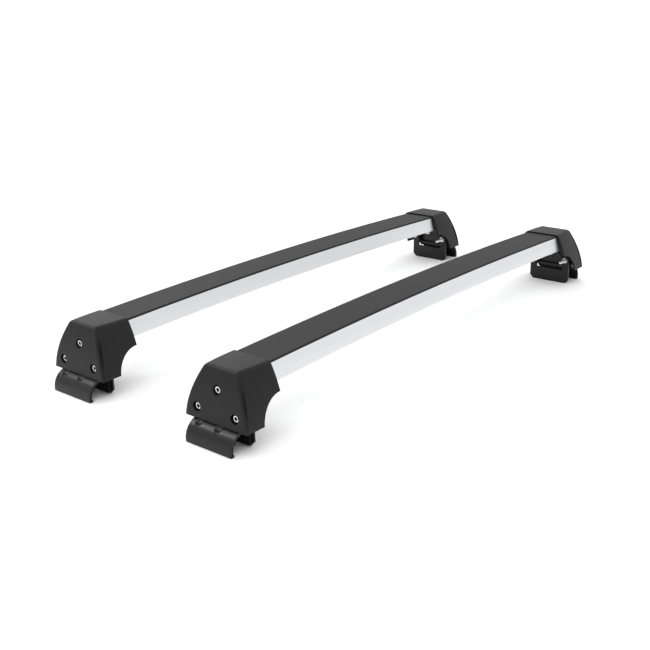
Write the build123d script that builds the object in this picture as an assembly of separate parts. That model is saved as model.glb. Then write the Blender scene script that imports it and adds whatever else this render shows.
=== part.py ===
from build123d import *
from math import asin, degrees, sqrt
import os

# Roof rack: a pair of arched aluminium crossbars, each on two clamp feet.
# Millimetres. X runs along the bars, Y from the front bar to the rear bar, Z up.
# The origin is on the floor under the middle of the set, which stands on its clamp jaws.

# The set
BAR_SPACING = 290.0  # centre to centre of the two bars
CLEAR_SPAN = 834.0  # bar showing between the two foot covers

# Crossbar: a hollow trapezoid extrusion bent to a gentle arch
ARCH_RISE = 7.2  # rise of the underside over the clear span
BAR_UNDERSIDE = 76.3  # underside above the floor, at the cover's mouth
BAR_HEIGHT = 26.0
BAR_TOP_HALF = 32.2
SIDE_SLOPE = 0.32  # run outwards for each millimetre down
BAR_WALL = 2.0
BAR_EDGE_RADIUS = 2.0
BAR_INSERT = 24.0  # length of bar inside each cover
SCREW_LAND = 4.5  # thick floor that the bar screws bite into
LAND_HALF = 22.0

# Top strip: a rubber strip over the whole top, held by a rib in a groove
STRIP_THICK = 3.0
STRIP_EDGE_RADIUS = 1.2
RIB_WIDTH = 8.0
RIB_DEPTH = 2.6
RIB_CLEARANCE = 0.15

# Clamp fasteners
BOLT_DIAMETER = 6.0
BOLT_LENGTH = 45.0
HEAD_DIAMETER = 10.0
HEAD_HEIGHT = 6.0
HEAD_RECESS = 5.7  # clamp bolt's head inside the outer face
SOCKET_FLATS = 5.0
SOCKET_DEPTH = 3.0
HOLE_DIAMETER = 6.6
THREAD_CLEARANCE = 0.08
WASHER_DIAMETER = 12.0
WASHER_THICK = 1.6
WASHER_HOLE = 6.4
NUT_FLATS = 10.0
NUT_THICK = 5.0
BOLT_OFFSET = 35.0  # bolts in front of and behind the bar's centre line
BOLT_RISE = 12.5  # bolt axis above the bracket's base

# Inner jaw: a flat plate with two ears, faced with a rubber pad
JAW_HALF_WIDTH = 41.8
JAW_PLATE_HEIGHT = 26.2
JAW_PLATE_THICK = 3.0
JAW_CHAMFER = 7.0
EAR_WIDTH = 13.8
EAR_INSET = 7.0  # ear's inner edge from the bolt axis
EAR_MARGIN = 9.0  # ear above the bolt axis
EAR_RADIUS = 5.0
JAW_PAD_THICK = 5.0
JAW_PAD_HALF = 38.0
JAW_PAD_HEIGHT = 22.0
JAW_PAD_LIFT = 2.4
PAD_GROOVE = 1.4
PAD_GROOVES = 3
CLOSING_TRAVEL = 7.0  # from the shown place towards the outer jaw
TRAVEL_CLEARANCE = 0.5

# Foot bracket: a web, a flange under the bar and a base over the rail
WEB_THICK = 4.5
WEB_HALF = 24.0
WEB_LUG_HALF = 41.0
WEB_LUG_DROP = 10.0  # lug below the bolt axis
WEB_CROWN = 11.5  # web above the cover screw
FLANGE_THICK = 5.7
FLANGE_SETBACK = 3.0  # flange end inside the cover's mouth
GUSSET_THICK = 3.0
GUSSET_RUN = 24.0
GUSSET_DROP = 20.0
BASE_THICK = 4.3
BASE_LENGTH = 6.0
RAIL_PAD_THICK = 4.4
RAIL_PAD_LENGTH = 10.0
SLIDE_GAP = 0.6  # jaw plate below the rail pad
SEAT_GAP = 0.1

# Outer jaw: pressed plate, an upstand on the web and a quarter-round hook over the rail
UPSTAND_HALF = 41.0
HOOK_HALF = 42.0
PLATE_THICK = 3.0
HOOK_RADIUS = 26.4
HOOK_REACH = 29.4  # hook's outer face beyond the upstand's outer face
HOOK_CENTRE = 5.5  # centre of the quarter round above the floor
LIP_DEPTH = 7.0
LIP_RADIUS = 2.0
BEND_RADIUS = 2.5  # outside of the bend below the upstand
DENT_PLACES = (-28.0, 8.0)  # stamped stiffening dents along the hook
DENT_RADIUS = 5.0
DENT_DEPTH = 1.6
DENT_ANGLE = 48.0
LINER_THICK = 2.5
LINER_HALF = 41.0

# Foot cover: a moulded shell, wider at the bottom, with a convex outer face
COVER_LENGTH = 73.0
COVER_LIP = 1.9
MOUTH_GAP = 0.4
FOOT_HALF_WIDTH = 57.2
MOUTH_MARGIN = 3.0  # cover's top edge outside the strip's top edge, at the mouth
BAR_END_MARGIN = 2.0  # the same over the end of the bar
FACE_TOP_HALF = 25.6  # half the top's width at the outer face
FACE_RADIUS = 191.0
SIDE_WALL = 2.5
FACE_SIDE_WALL = 6.5  # side wall at the outer face, where the flutes are
FACE_WALL = 3.2
TOP_EDGE_RADIUS = 4.5
SKIRT_GAP = 0.3  # cover's lower edge above the bracket's base
CUTOUT_RADIUS = 39.0
CUTOUT_DROP = 2.4  # centre of the cut-out below the cover's lower edge
RIM = 2.2  # rim of the outer face beside each flute
FLUTE_RADIUS = 15.0
FLUTE_DEPTH = 2.6
FLUTE_MARGIN = 6.0  # flute's ends inside the cover's height
COUNTERBORE = 14.0
BOSS_WALL = 2.0

# Cover and bar screws
COVER_SCREW_RISE = 2.2  # cover screw above the bar's underside
COVER_SCREW_HEAD = 5.0
COVER_SCREW_LENGTH = 14.0
COVER_SCREW_SEAT = 3.9  # boss floor under the screw head
BAR_SCREW_LENGTH = 11.0
BAR_SCREW_INSET = 13.0  # bar screws from the cover's mouth
BAR_SCREW_OFFSET = 14.0
SCREW_HOLE_CLEARANCE = 0.05

# Modelling
OVERCUT = 1.0  # how far a cutter runs past the face it opens

# Heights, from the floor up
rail_pad_bottom = JAW_PLATE_HEIGHT + SLIDE_GAP
base_bottom = rail_pad_bottom + RAIL_PAD_THICK
base_top = base_bottom + BASE_THICK
bolt_z = base_top + BOLT_RISE
ear_top = bolt_z + EAR_MARGIN
cover_bottom = base_bottom + SKIRT_GAP
cover_screw_z = BAR_UNDERSIDE + COVER_SCREW_RISE

# Places along X at the right foot, from the mouth outwards
mouth_x = CLEAR_SPAN / 2
bar_end = mouth_x + BAR_INSERT
face_x = mouth_x + COVER_LENGTH
flange_end = mouth_x + FLANGE_SETBACK
bar_screw_x = mouth_x + BAR_SCREW_INSET

# Arch: concentric radii about one axis along Y
underside_radius = (mouth_x**2 + ARCH_RISE**2) / (2 * ARCH_RISE)
bar_top_radius = underside_radius + BAR_HEIGHT
strip_top_radius = bar_top_radius + STRIP_THICK
arch_centre = BAR_UNDERSIDE + ARCH_RISE - underside_radius
arch_axis = Axis((0, 0, arch_centre), (0, 1, 0))
strip_top_half = BAR_TOP_HALF - SIDE_SLOPE * STRIP_THICK


def arch_height(radius, x):
    """Height of the arched surface of one radius above the floor, at x."""
    return arch_centre + sqrt(radius**2 - x**2)


strip_top_z = arch_height(strip_top_radius, mouth_x)
cavity_top = strip_top_z + MOUTH_GAP
cover_top = cavity_top + COVER_LIP

# Stations of the cover's taper: its mouth, the bar's end and just past the outer face
cover_stations = (mouth_x, bar_end, face_x + RIM)
cover_top_halves = (strip_top_half + MOUTH_MARGIN, strip_top_half + BAR_END_MARGIN, FACE_TOP_HALF)

# Clamp stack along X: bolt head, washer, upstand and web, from the outer face inwards
head_face = face_x - HEAD_RECESS
head_seat = head_face - HEAD_HEIGHT
washer_x = head_seat - SEAT_GAP - WASHER_THICK
upstand_x = washer_x - PLATE_THICK
web_x = upstand_x - WEB_THICK
jaw_x = web_x - TRAVEL_CLEARANCE - CLOSING_TRAVEL - JAW_PLATE_THICK


def polygon(points):
    """Closed face through the points of a sketch plane."""
    return make_face(Polyline(*points, close=True))


def rod(diameter, x_low, x_high, y=0.0, z=0.0):
    """Cylinder along X."""
    place = Pos((x_low + x_high) / 2, y, z) * Rot(0, 90, 0)
    return place * Cylinder(diameter / 2, x_high - x_low)


def post(diameter, z_low, z_high, x, y):
    """Cylinder along Z."""
    return Pos(x, y, (z_low + z_high) / 2) * Cylinder(diameter / 2, z_high - z_low)


def slab(x_low, x_high, half_width, z_low, z_high):
    """Box that is symmetric about the bar's centre line."""
    centre = Pos((x_low + x_high) / 2, 0, (z_low + z_high) / 2)
    return centre * Box(x_high - x_low, 2 * half_width, z_high - z_low)


def plate(face, x_low, x_high):
    """Face drawn in (y, z), made a plate between two places along X."""
    return extrude(Plane.YZ.offset(x_low) * face, x_high - x_low)


def pressing(face, half_width):
    """Face drawn in (x, z), made a strip that is symmetric about the centre line."""
    return extrude(Plane.XZ * face, half_width, both=True)


def arched(face, reach):
    """Section drawn in (y, z) under the crown of the arch, bent along it to x = +/- reach."""
    angle = degrees(asin(reach / underside_radius))
    start = (Plane.YZ * face).rotate(arch_axis, -angle)
    return revolve(start, arch_axis, 2 * angle)


def bar_outline(clearance=0.0):
    """Trapezoid of the extrusion's outer surface, in (y, z) at the crown."""
    top = arch_centre + bar_top_radius
    bottom = arch_centre + underside_radius - clearance
    low_half = BAR_TOP_HALF + SIDE_SLOPE * (top - bottom)
    corners = [(low_half, bottom), (BAR_TOP_HALF, top), (-BAR_TOP_HALF, top), (-low_half, bottom)]
    return polygon(corners)


def socket_screw(length, head_height):
    """Socket-head screw along X: the shank points inwards from the head's seat at x = 0."""
    screw = rod(BOLT_DIAMETER, -length, 0) + rod(HEAD_DIAMETER, 0, head_height)
    socket = RegularPolygon(SOCKET_FLATS / 2, 6, major_radius=False)
    return screw - plate(socket, head_height - SOCKET_DEPTH, head_height + OVERCUT)


def make_crossbar():
    """Hollow arched extrusion with a strip groove, three cells and tapped screw lands."""
    top = arch_centre + bar_top_radius
    bottom = arch_centre + underside_radius
    outline = bar_outline()
    low_corners = outline.vertices().group_by(Axis.Y)[0]
    outline = fillet(low_corners, BAR_EDGE_RADIUS)
    groove = Pos(0, top) * Rectangle(RIB_WIDTH, 2 * RIB_DEPTH)
    cell_top = top - RIB_DEPTH - BAR_WALL
    cell_bottom = bottom + SCREW_LAND
    middle = Pos(0, (cell_top + cell_bottom) / 2)
    middle_cell = middle * Rectangle(2 * LAND_HALF, cell_top - cell_bottom)
    side_top = top - BAR_WALL
    side_bottom = bottom + BAR_WALL
    rib_face = LAND_HALF + BAR_WALL

    def skin(z):
        """Inner face of the slanted side wall."""
        return BAR_TOP_HALF + SIDE_SLOPE * (top - z) - BAR_WALL * sqrt(1 + SIDE_SLOPE**2)

    side_corners = [
        (rib_face, side_bottom),
        (skin(side_bottom), side_bottom),
        (skin(side_top), side_top),
        (rib_face, side_top),
    ]
    side_cell = polygon(side_corners)
    section = outline - groove - middle_cell - side_cell - mirror(side_cell, Plane.YZ)
    bar = arched(section, bar_end)
    land_z = arch_height(underside_radius, bar_screw_x)
    hole = BOLT_DIAMETER + 2 * SCREW_HOLE_CLEARANCE
    for x in (-bar_screw_x, bar_screw_x):
        for y in (-BAR_SCREW_OFFSET, BAR_SCREW_OFFSET):
            bar -= post(hole, land_z - SCREW_LAND, land_z + SCREW_LAND + OVERCUT, x, y)
    return bar


def make_top_strip():
    """Rubber strip over the bar's top, with the rib that holds it in the groove."""
    top = arch_centre + strip_top_radius
    seat = arch_centre + bar_top_radius
    corners = [(BAR_TOP_HALF, seat), (strip_top_half, top), (-strip_top_half, top), (-BAR_TOP_HALF, seat)]
    outline = polygon(corners)
    outline = fillet(outline.vertices().group_by(Axis.Y)[-1], STRIP_EDGE_RADIUS)
    rib_depth = RIB_DEPTH - RIB_CLEARANCE
    rib = Pos(0, seat - rib_depth / 2) * Rectangle(RIB_WIDTH - 2 * RIB_CLEARANCE, rib_depth)
    return arched(outline + rib, bar_end)


def cover_profile(inset, x_low, z_low, z_high):
    """Side view of the cover in (x, z): a block whose outer end is the convex face, less an inset."""
    centre_x = face_x - FACE_RADIUS
    radius = FACE_RADIUS - inset

    def on_face(z):
        """Point of the convex face at one height."""
        return (centre_x + sqrt(radius**2 - (z - cover_bottom) ** 2), z)

    face = ThreePointArc(on_face(z_low), on_face((z_low + z_high) / 2), on_face(z_high))
    rest = Polyline(on_face(z_high), (x_low, z_high), (x_low, z_low), on_face(z_low))
    return make_face(face + rest)


def cover_top_half(x):
    """Half the top's width along the cover: a parabola through its stations."""
    x_mouth, x_end, x_face = cover_stations
    mouth_half, end_half, face_half = cover_top_halves
    slope = (end_half - mouth_half) / (x_end - x_mouth)
    bend = ((face_half - end_half) / (x_face - x_end) - slope) / (x_face - x_mouth)
    return mouth_half + (x - x_mouth) * (slope + bend * (x - x_end))


def cover_half_width(top_half, z):
    """Half the cover's width at one height, for a section with a given top."""
    return top_half + (FOOT_HALF_WIDTH - top_half) * (cover_top - z) / (cover_top - cover_bottom)


def cover_loft(insets, z_low, z_high):
    """Tapered block through the cover's stations, less a side inset at each."""
    sections = []
    for x, top_half, inset in zip(cover_stations, cover_top_halves, insets):
        low = cover_half_width(top_half, z_low) - inset
        high = cover_half_width(top_half, z_high) - inset
        section = polygon([(-low, z_low), (low, z_low), (high, z_high), (-high, z_high)])
        sections.append(Plane.YZ.offset(x) * section)
    return loft(sections)


def make_flute():
    """Cutter for the front flute: a bowed round bar beside the outer face, kept off the face's rim."""
    z_low = cover_bottom + FLUTE_MARGIN
    z_high = cover_top - FLUTE_MARGIN

    def on_edge(z):
        """Point of the cover's front outer edge at one height."""
        x = face_x - FACE_RADIUS + sqrt(FACE_RADIUS**2 - (z - cover_bottom) ** 2) - RIM
        return Vector(x, -cover_half_width(cover_top_half(x), z), z)

    low = on_edge(z_low)
    high = on_edge(z_high)
    along = (high - low).normalized()
    outward = Vector(1, 0, 0).cross(along).normalized()
    half_length = (high - low).length / 2
    bow_radius = half_length**2 / (2 * FLUTE_DEPTH)
    centre = (low + high) * 0.5 + outward * (bow_radius + FLUTE_RADIUS - FLUTE_DEPTH)
    ring = Plane(origin=centre, x_dir=along, z_dir=along.cross(outward)) * Torus(bow_radius, FLUTE_RADIUS)
    inside_rim = cover_profile(RIM, mouth_x, cover_bottom - RIM, cover_top + RIM)
    return ring & pressing(inside_rim, 2 * FOOT_HALF_WIDTH)


def make_foot_cover():
    """Moulded shell over the bracket and the end of the bar, with three counterbored bosses."""
    block = cover_loft((0, 0, 0), cover_bottom, cover_top)
    block &= pressing(cover_profile(0, mouth_x, cover_bottom, cover_top), FOOT_HALF_WIDTH)
    top_edges = block.faces().sort_by(Axis.Z)[-1].edges().sort_by(Axis.X)[1:]
    block = fillet(top_edges, TOP_EDGE_RADIUS)
    flute = make_flute()
    block -= flute
    block -= mirror(flute, Plane.XZ)

    below = cover_bottom - RIM
    cavity = cover_loft((SIDE_WALL, SIDE_WALL, FACE_SIDE_WALL), below, cavity_top)
    cavity &= pressing(cover_profile(FACE_WALL, mouth_x, below, cavity_top), FOOT_HALF_WIDTH)
    shell = block - cavity

    boss = COUNTERBORE + 2 * BOSS_WALL
    boss_start = upstand_x + PLATE_THICK + SEAT_GAP
    screw_boss_start = web_x + WEB_THICK + SEAT_GAP
    bosses = rod(boss, screw_boss_start, face_x, 0, cover_screw_z)
    for y in (-BOLT_OFFSET, BOLT_OFFSET):
        bosses += rod(boss, boss_start, face_x, y, bolt_z)
    shell += bosses & block
    for y in (-BOLT_OFFSET, BOLT_OFFSET):
        shell -= rod(COUNTERBORE, boss_start - OVERCUT, face_x + OVERCUT, y, bolt_z)
    screw_seat = screw_boss_start + COVER_SCREW_SEAT
    shell -= rod(COUNTERBORE, screw_seat, face_x + OVERCUT, 0, cover_screw_z)
    shell -= rod(HOLE_DIAMETER, screw_boss_start - OVERCUT, screw_seat + OVERCUT, 0, cover_screw_z)

    cutout = Pos(mouth_x, 0, cover_bottom - CUTOUT_DROP) * Rot(90, 0, 0)
    return shell - cutout * Cylinder(CUTOUT_RADIUS, 3 * FOOT_HALF_WIDTH)


def make_foot_bracket():
    """Bracket that carries the bar: web with bolt lugs, flange under the bar, gussets and base."""
    lug_low = bolt_z - WEB_LUG_DROP
    shoulder = ear_top + EAR_MARGIN
    crown = cover_screw_z + WEB_CROWN
    half = [
        (0, base_bottom),
        (WEB_HALF, base_bottom),
        (WEB_HALF, lug_low),
        (WEB_LUG_HALF, lug_low),
        (WEB_LUG_HALF, ear_top),
        (WEB_HALF, shoulder),
        (WEB_HALF, crown),
        (0, crown),
    ]
    web_face = polygon(half)
    web_face += mirror(web_face, Plane.YZ)
    web_end = web_x + WEB_THICK
    bracket = plate(web_face, web_x, web_end)
    flange_bottom = arch_height(underside_radius, bar_end) - FLANGE_THICK
    flange_top = BAR_UNDERSIDE
    bracket += slab(flange_end, web_x, WEB_HALF, flange_bottom, flange_top)
    bracket += slab(web_x - BASE_LENGTH, web_x, WEB_HALF, base_bottom, base_top)
    gusset_corners = [
        (web_x, flange_bottom),
        (web_x - GUSSET_RUN, flange_bottom),
        (web_x, flange_bottom - GUSSET_DROP),
    ]
    gusset_face = polygon(gusset_corners)
    bracket += pressing(gusset_face, WEB_HALF) - pressing(gusset_face, WEB_HALF - GUSSET_THICK)
    bracket -= arched(bar_outline(SEAT_GAP), bar_end + SEAT_GAP)
    for y in (-BOLT_OFFSET, BOLT_OFFSET):
        bracket -= rod(HOLE_DIAMETER, web_x - OVERCUT, web_end + OVERCUT, y, bolt_z)
    tapped = BOLT_DIAMETER + 2 * SCREW_HOLE_CLEARANCE
    bracket -= rod(tapped, web_x - COVER_SCREW_LENGTH, web_end + OVERCUT, 0, cover_screw_z)
    for y in (-BAR_SCREW_OFFSET, BAR_SCREW_OFFSET):
        bracket -= post(HOLE_DIAMETER, flange_bottom - OVERCUT, flange_top + OVERCUT, bar_screw_x, y)
    return bracket


def make_rail_pad():
    """Rubber pad under the bracket's base, where the foot sits on the rail."""
    end = web_x + WEB_THICK - SEAT_GAP
    return slab(end - RAIL_PAD_LENGTH, end, WEB_HALF, rail_pad_bottom, base_bottom)


def hook_profile(thick, outer_radius, start_x, lip):
    """Quarter-round strip in (x, z) from start_x over the rail and down to a height above the floor."""
    centre_x = upstand_x + PLATE_THICK + HOOK_REACH - HOOK_RADIUS
    inner_radius = outer_radius - thick
    top = HOOK_CENTRE + outer_radius
    diagonal = sqrt(0.5)

    def quarter(radius):
        """Quarter round from the crown to the outer face."""
        middle = (centre_x + radius * diagonal, HOOK_CENTRE + radius * diagonal)
        return ThreePointArc((centre_x, HOOK_CENTRE + radius), middle, (centre_x + radius, HOOK_CENTRE))

    outer = quarter(outer_radius)
    inner = quarter(inner_radius)
    crown = Polyline((centre_x, top - thick), (start_x, top - thick), (start_x, top), (centre_x, top))
    drop = Polyline(
        (centre_x + outer_radius, HOOK_CENTRE),
        (centre_x + outer_radius, lip),
        (centre_x + inner_radius, lip),
        (centre_x + inner_radius, HOOK_CENTRE),
    )
    return make_face(outer + drop + inner + crown)


def bent_heel(face):
    """Profile with its lower inner corner rounded, as the press bends it."""
    heel = face.vertices().group_by(Axis.X)[0].sort_by(Axis.Y)[0]
    return fillet(heel, BEND_RADIUS)


def make_outer_jaw():
    """Pressed outer jaw: upstand against the web, quarter-round hook with dents, and a small lip."""
    upstand_end = upstand_x + PLATE_THICK
    reach = upstand_end + HOOK_REACH
    lip_end = reach - LIP_DEPTH
    hook = hook_profile(PLATE_THICK, HOOK_RADIUS, upstand_x, 0)
    hook += polygon([(reach, 0), (reach, PLATE_THICK), (lip_end, PLATE_THICK), (lip_end, 0)])
    toe = hook.vertices().group_by(Axis.X)[-1].sort_by(Axis.Y)[0]
    hook = fillet(toe, LIP_RADIUS)
    low = HOOK_CENTRE + HOOK_RADIUS - PLATE_THICK
    upstand = polygon([(upstand_x, low), (upstand_end, low), (upstand_end, ear_top), (upstand_x, ear_top)])
    jaw = pressing(bent_heel(hook), HOOK_HALF) + pressing(bent_heel(upstand), UPSTAND_HALF)
    for y in (-BOLT_OFFSET, BOLT_OFFSET):
        jaw -= rod(HOLE_DIAMETER, upstand_x - OVERCUT, upstand_end + OVERCUT, y, bolt_z)
    centre_x = reach - HOOK_RADIUS
    for y in DENT_PLACES:
        stand_off = HOOK_RADIUS + DENT_RADIUS - DENT_DEPTH
        place = Pos(centre_x, y, HOOK_CENTRE) * Rot(0, -DENT_ANGLE, 0) * Pos(stand_off, 0, 0)
        jaw -= place * Sphere(DENT_RADIUS)
    return jaw


def make_outer_jaw_liner():
    """Rubber liner inside the hook, against the rail."""
    radius = HOOK_RADIUS - PLATE_THICK - SEAT_GAP
    start = upstand_x + PLATE_THICK
    return pressing(hook_profile(LINER_THICK, radius, start, PLATE_THICK + SEAT_GAP), LINER_HALF)


def make_inner_jaw():
    """Inner jaw: plate with chamfered lower corners and an ear for each bolt."""
    ear_inner = BOLT_OFFSET - EAR_INSET
    ear_outer = ear_inner + EAR_WIDTH
    half = [
        (0, 0),
        (JAW_HALF_WIDTH - JAW_CHAMFER, 0),
        (JAW_HALF_WIDTH, JAW_CHAMFER),
        (JAW_HALF_WIDTH, JAW_PLATE_HEIGHT),
        (0, JAW_PLATE_HEIGHT),
    ]
    ear = [(ear_inner, JAW_CHAMFER), (ear_outer, JAW_CHAMFER), (ear_outer, ear_top), (ear_inner, ear_top)]
    face = polygon(half) + polygon(ear)
    face += mirror(face, Plane.YZ)
    face = fillet(face.vertices().group_by(Axis.Y)[-1], EAR_RADIUS)
    jaw = plate(face, jaw_x, jaw_x + JAW_PLATE_THICK)
    for y in (-BOLT_OFFSET, BOLT_OFFSET):
        jaw -= rod(HOLE_DIAMETER, jaw_x - OVERCUT, jaw_x + JAW_PLATE_THICK + OVERCUT, y, bolt_z)
    return jaw


def make_inner_jaw_pad():
    """Grooved rubber pad on the inner jaw, towards the rail."""
    seat = jaw_x + JAW_PLATE_THICK
    grip = seat + JAW_PAD_THICK
    pad = slab(seat, grip, JAW_PAD_HALF, JAW_PAD_LIFT, JAW_PAD_LIFT + JAW_PAD_HEIGHT)
    pitch = JAW_PAD_HEIGHT / (PAD_GROOVES + 1)
    for i in range(PAD_GROOVES):
        z = JAW_PAD_LIFT + pitch * (i + 1)
        mouth = PAD_GROOVE + OVERCUT
        corners = [(grip - PAD_GROOVE, z), (grip + OVERCUT, z - mouth), (grip + OVERCUT, z + mouth)]
        pad -= pressing(polygon(corners), JAW_PAD_HALF + OVERCUT)
    return pad


def make_clamp_bolt(y):
    """Long socket-head bolt through the upstand, the web and the inner jaw's ear."""
    return Pos(head_seat, y, bolt_z) * socket_screw(BOLT_LENGTH, HEAD_HEIGHT)


def make_clamp_nuts():
    """Hexagon nuts on the inner jaw's ears."""
    nuts = []
    bore = BOLT_DIAMETER + 2 * THREAD_CLEARANCE
    for y in (-BOLT_OFFSET, BOLT_OFFSET):
        face = RegularPolygon(NUT_FLATS / 2, 6, major_radius=False) - Circle(bore / 2)
        nuts.append(Pos(0, y, bolt_z) * plate(face, jaw_x - NUT_THICK, jaw_x))
    return nuts


def make_clamp_washers():
    """Washers between the bolt heads and the outer jaw's upstand."""
    washers = []
    for y in (-BOLT_OFFSET, BOLT_OFFSET):
        face = Circle(WASHER_DIAMETER / 2) - Circle(WASHER_HOLE / 2)
        washers.append(Pos(0, y, bolt_z) * plate(face, washer_x, washer_x + WASHER_THICK))
    return washers


def make_cover_screw():
    """Screw that holds the cover to the web."""
    seat = web_x + WEB_THICK + SEAT_GAP + COVER_SCREW_SEAT
    return Pos(seat, 0, cover_screw_z) * socket_screw(COVER_SCREW_LENGTH, COVER_SCREW_HEAD)


def make_bar_screws():
    """Screws up through the flange into the bar's lands."""
    flange_bottom = arch_height(underside_radius, bar_end) - FLANGE_THICK
    screws = []
    for y in (-BAR_SCREW_OFFSET, BAR_SCREW_OFFSET):
        place = Pos(bar_screw_x, y, flange_bottom) * Rot(0, 90, 0)
        screws.append(place * socket_screw(BAR_SCREW_LENGTH, HEAD_HEIGHT))
    return screws


def make_foot():
    """Pieces of the right foot of a bar on the X axis, as name to list of solids."""
    return {
        "foot_cover": [make_foot_cover()],
        "foot_bracket": [make_foot_bracket()],
        "rail_pad": [make_rail_pad()],
        "outer_jaw": [make_outer_jaw()],
        "outer_jaw_liner": [make_outer_jaw_liner()],
        "inner_jaw": [make_inner_jaw()],
        "inner_jaw_pad": [make_inner_jaw_pad()],
        "clamp_nuts": make_clamp_nuts(),
        "clamp_washers": make_clamp_washers(),
        "cover_screw": [make_cover_screw()],
        "bar_screws": make_bar_screws(),
    }


def save(name, solids, place):
    """Write one node: its solids, moved to their place in the set."""
    moved = [place * solid for solid in solids]
    shape = moved[0] if len(moved) == 1 else Compound(children=moved)
    export_step(shape, f"parts/{name}.step")


def main():
    """Build the bars and the feet, and write each piece in its place."""
    os.makedirs("parts", exist_ok=True)
    crossbar = make_crossbar()
    top_strip = make_top_strip()
    foot = make_foot()
    bolts = {y: make_clamp_bolt(y) for y in (-BOLT_OFFSET, BOLT_OFFSET)}
    for bar, bar_y in (("front", -BAR_SPACING / 2), ("rear", BAR_SPACING / 2)):
        at_bar = Pos(0, bar_y, 0)
        save(f"{bar}_crossbar", [crossbar], at_bar)
        save(f"{bar}_top_strip", [top_strip], at_bar)
        for side, turn in (("left", 180), ("right", 0)):
            place = at_bar * Rot(0, 0, turn)
            for piece, solids in foot.items():
                save(f"{bar}_{side}_{piece}", solids, place)
            front_y = BOLT_OFFSET if side == "left" else -BOLT_OFFSET
            save(f"{bar}_{side}_front_clamp_bolt", [bolts[front_y]], place)
            save(f"{bar}_{side}_rear_clamp_bolt", [bolts[-front_y]], place)


main()
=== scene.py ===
import logging
from dataclasses import dataclass, field
from enum import Enum
from math import cos, pi, radians, sin, sqrt, tan
from typing import Any, Iterable

import bmesh
import bpy
from bmesh.types import BMesh, BMVert
from bpy.types import Material, Mesh, Node, NodeSocket, NodeTree, Object
from mathutils import Matrix, Vector


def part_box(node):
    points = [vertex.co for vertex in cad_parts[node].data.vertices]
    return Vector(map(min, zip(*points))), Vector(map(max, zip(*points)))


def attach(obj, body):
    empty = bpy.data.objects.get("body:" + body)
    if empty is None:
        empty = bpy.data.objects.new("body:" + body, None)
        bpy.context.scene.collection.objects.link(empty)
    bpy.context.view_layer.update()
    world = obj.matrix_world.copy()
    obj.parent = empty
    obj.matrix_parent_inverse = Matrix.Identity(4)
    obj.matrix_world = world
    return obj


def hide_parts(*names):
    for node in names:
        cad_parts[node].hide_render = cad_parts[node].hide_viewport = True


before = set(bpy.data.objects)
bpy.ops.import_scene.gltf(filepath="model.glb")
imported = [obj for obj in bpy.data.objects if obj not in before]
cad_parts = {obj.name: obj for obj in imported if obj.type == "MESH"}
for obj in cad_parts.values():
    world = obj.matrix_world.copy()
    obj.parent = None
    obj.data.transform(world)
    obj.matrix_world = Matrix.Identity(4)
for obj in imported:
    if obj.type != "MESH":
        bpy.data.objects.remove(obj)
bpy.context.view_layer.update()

MM = 0.001
WELD = 1e-6
LOG = logging.getLogger("roof_rack")
Outline = list[tuple[float, float]]
Rod = tuple[float, Vector, Vector]


class Bar(Enum):
    """The two bars of the set."""

    FRONT = "front"
    REAR = "rear"


class Side(Enum):
    """The two ends of a bar, with the way that the end faces along X."""

    LEFT = -1
    RIGHT = 1

    @property
    def word(self) -> str:
        """Name of the end as the CAD nodes spell it."""
        return self.name.lower()


class Texture(Enum):
    """How a surface was made, which sets the run of its pattern."""

    MOULDED = "moulded"
    DRAWN = "drawn"
    COATED = "coated"
    PLATED = "plated"
    CURED = "cured"

    @property
    def stretch(self) -> tuple[float, float, float]:
        """Pattern density along X, Y and Z: what came through a die has lines along the bar."""
        along = {Texture.DRAWN: 0.004, Texture.CURED: 0.35}
        return along.get(self, 1.0), 1.0, 1.0


def linear(code: str) -> tuple[float, float, float, float]:
    """Turn an sRGB hex value into a linear colour.

    Args:
        code: Six hex digits after a hash sign.

    Returns:
        Red, green, blue and alpha.
    """
    values = [int(code[i : i + 2], 16) / 255 for i in (1, 3, 5)]
    red, green, blue = (v / 12.92 if v <= 0.04045 else ((v + 0.055) / 1.055) ** 2.4 for v in values)
    return red, green, blue, 1.0


def add_node(
    tree: NodeTree,
    kind: str,
    settings: dict[str, Any] | None = None,
    values: dict[Any, Any] | None = None,
    links: dict[Any, NodeSocket] | None = None,
) -> Node:
    """Add one node with its settings, its fixed inputs and its links.

    Args:
        tree: Node tree to add to.
        kind: Blender's name of the node type.
        settings: Properties of the node.
        values: Input name or number to fixed value.
        links: Input name or number to the output that feeds it.

    Returns:
        The new node.
    """
    node = tree.nodes.new(kind)
    for name, value in (settings or {}).items():
        setattr(node, name, value)
    for name, value in (values or {}).items():
        node.inputs[name].default_value = value
    for name, socket in (links or {}).items():
        tree.links.new(socket, node.inputs[name])
    return node


# Slow clouds over a surface, in grains of its pattern
CLOUD_GRAINS = 60
# Where the shade and the colour stand on the ramp of the mixed noise
TONE_STOPS = (0.12, 0.42)
# Span of the grain's noise over which the roughness runs
SHEEN_SPAN = (0.3, 0.7)


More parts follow.
